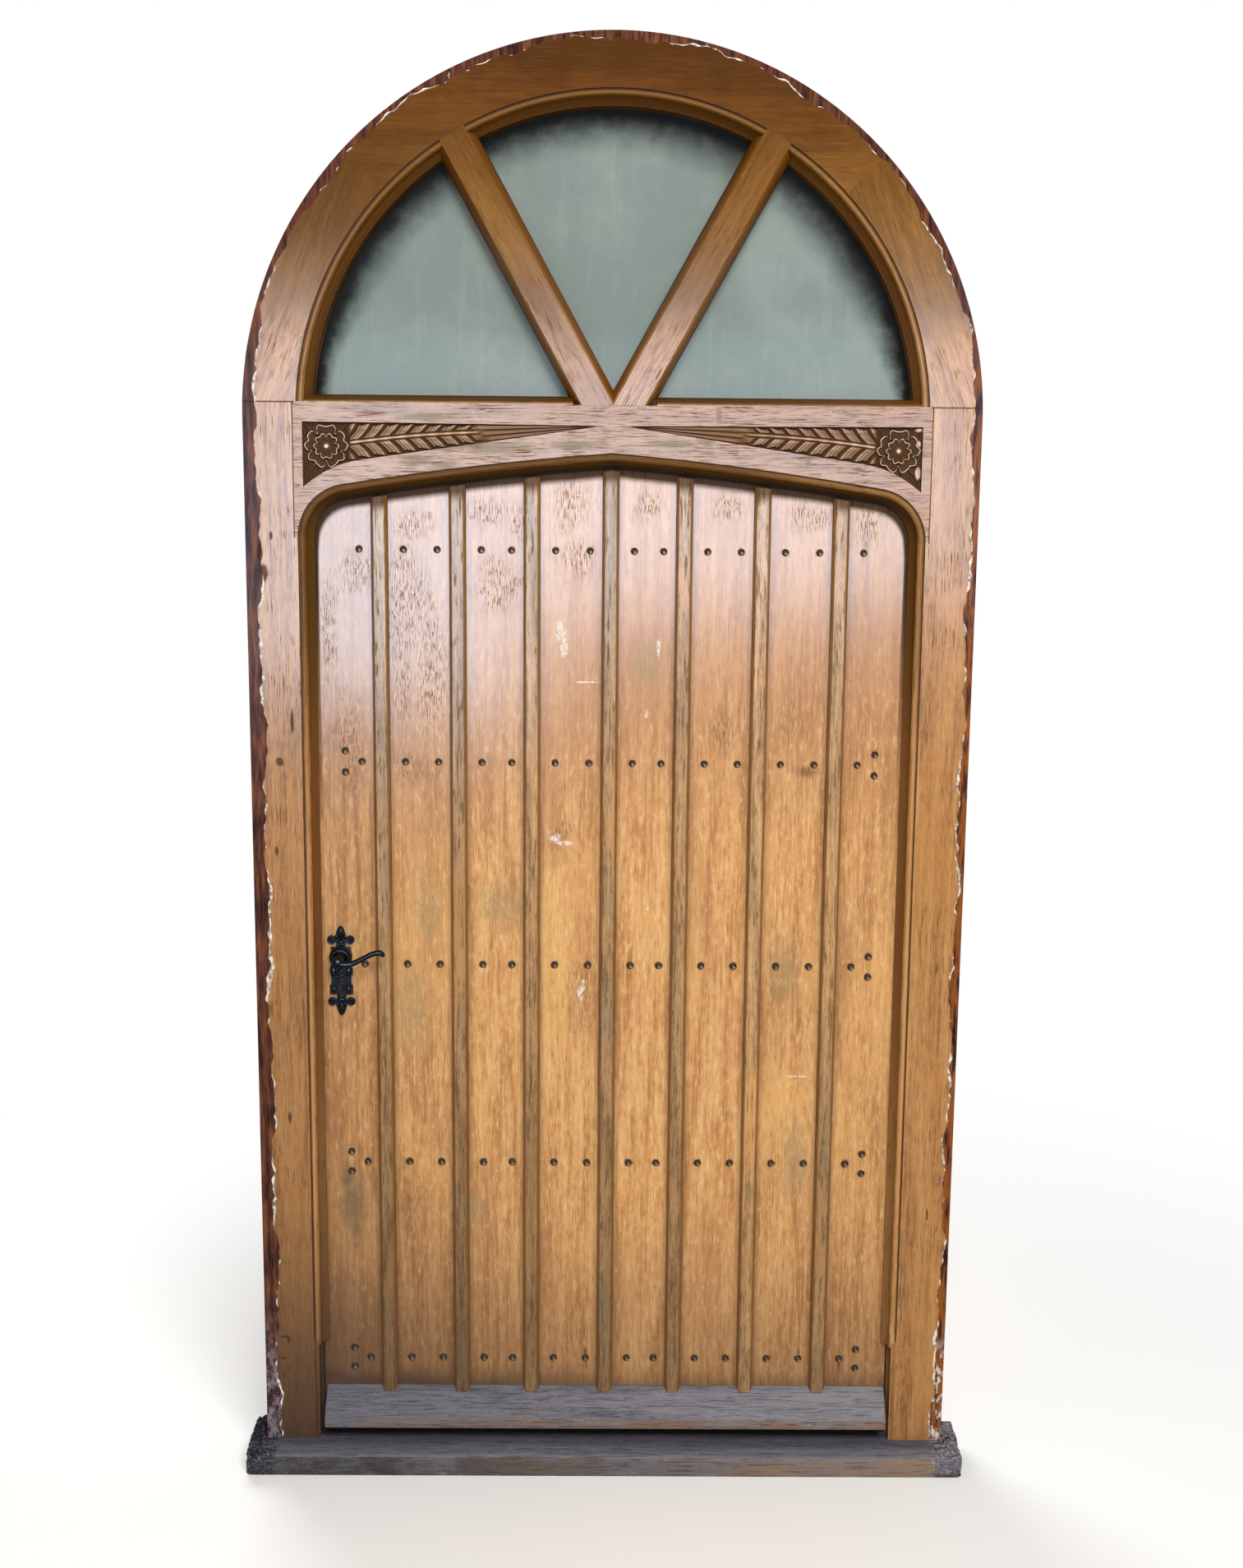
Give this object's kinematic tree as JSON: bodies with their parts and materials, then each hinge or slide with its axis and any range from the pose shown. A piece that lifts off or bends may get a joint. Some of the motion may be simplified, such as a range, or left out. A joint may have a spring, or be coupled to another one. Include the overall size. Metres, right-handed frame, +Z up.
{
  "type": "arched door with frame",
  "caption": "Round-headed boarded oak door leaf hung in its moulded frame, with a glazed fanlight over a carved transom, an iron lever handle and a timber sill.",
  "frame": {"origin": "middle of the sill's underside, below the front face of the frame", "axes": "+X along the sill to the right seen from outside, +Y into the building, +Z up"},
  "size_m": [1.264, 0.1654, 2.4259],
  "materials": {
    "frame_oak": "worn semi-gloss varnish",
    "board_oak": "worn semi-gloss varnish",
    "strip_oak": "weathered, thin varnish",
    "framing_oak": "satin varnish",
    "weathered_oak": "grey, weathered bare timber",
    "pane_glass": "dusty clear pane",
    "nail_iron": "dark dome heads",
    "black_iron": "black lacquered iron",
    "hinge_steel": "dull steel",
    "lock_brass": "tarnished",
    "lock_steel": "dull steel"
  },
  "bodies": {
    "frame": {"jamb_left": "frame_oak", "jamb_right": "frame_oak", "arch_crown": "frame_oak", "arch_haunch_left": "frame_oak", "arch_haunch_right": "frame_oak", "transom": "frame_oak", "glazing_bar_left": "frame_oak", "glazing_bar_right": "frame_oak", "glazing_beads_left": "frame_oak", "glazing_beads_centre": "frame_oak", "glazing_beads_right": "frame_oak", "glass_left": "pane_glass", "glass_centre": "pane_glass", "glass_right": "pane_glass", "sill": "weathered_oak", "strike_plate": "lock_brass", "strike_screws": "lock_brass", "hinge_frame_screws": "hinge_steel", "hinge_frame_flaps": "hinge_steel", "hinge_pins": "hinge_steel"},
    "leaf": {"board_1": "board_oak", "board_2": "board_oak", "board_3": "board_oak", "board_4": "board_oak", "board_5": "board_oak", "board_6": "board_oak", "board_7": "board_oak", "board_8": "board_oak", "cover_strip_1": "strip_oak", "cover_strip_2": "strip_oak", "cover_strip_3": "strip_oak", "cover_strip_4": "strip_oak", "cover_strip_5": "strip_oak", "cover_strip_6": "strip_oak", "cover_strip_7": "strip_oak", "lock_stile": "framing_oak", "hinge_stile": "framing_oak", "top_rail": "framing_oak", "upper_rail": "framing_oak", "lock_rail": "framing_oak", "lower_rail": "framing_oak", "bottom_rail": "framing_oak", "weatherboard": "weathered_oak", "board_nails": "nail_iron", "outer_backplate": "black_iron", "inner_backplate": "black_iron", "backplate_screws": "black_iron", "lock_case": "lock_steel", "lock_forend": "lock_brass", "hinge_leaf_flaps": "hinge_steel", "hinge_leaf_screws": "hinge_steel"},
    "lever_set": {"outer_lever": "black_iron", "inner_lever": "black_iron", "spindle": "lock_steel", "follower": "lock_steel"},
    "latch_bolt": {"latch_bolt": "lock_brass"},
    "dead_bolt": {"dead_bolt": "lock_brass"}
  },
  "joints": [
    {"name": "leaf_swing", "type": "hinge", "parent": "frame", "child": "leaf", "pos_m": [0.5005, 0.077, 0], "axis": [0, 0, -1], "range_deg": [0, 110]},
    {"name": "lever_turn", "type": "hinge", "parent": "leaf", "child": "lever_set", "pos_m": [-0.4585, 0.046, 0.922], "axis": [0, 1, 0], "range_deg": [0, 35], "stiffness_Nm_per_rad": 1.5, "springref_deg": -20.05},
    {"name": "latch_slide", "type": "slide", "parent": "leaf", "child": "latch_bolt", "axis": [1, 0, 0], "range_m": [0, 0.012]},
    {"name": "dead_bolt_throw", "type": "slide", "parent": "leaf", "child": "dead_bolt", "axis": [-1, 0, 0], "range_m": [0, 0.014]}
  ],
  "couplings": [
    {"joint": "latch_slide", "follows": "lever_turn", "m_per_rad": 0.0196}
  ]
}
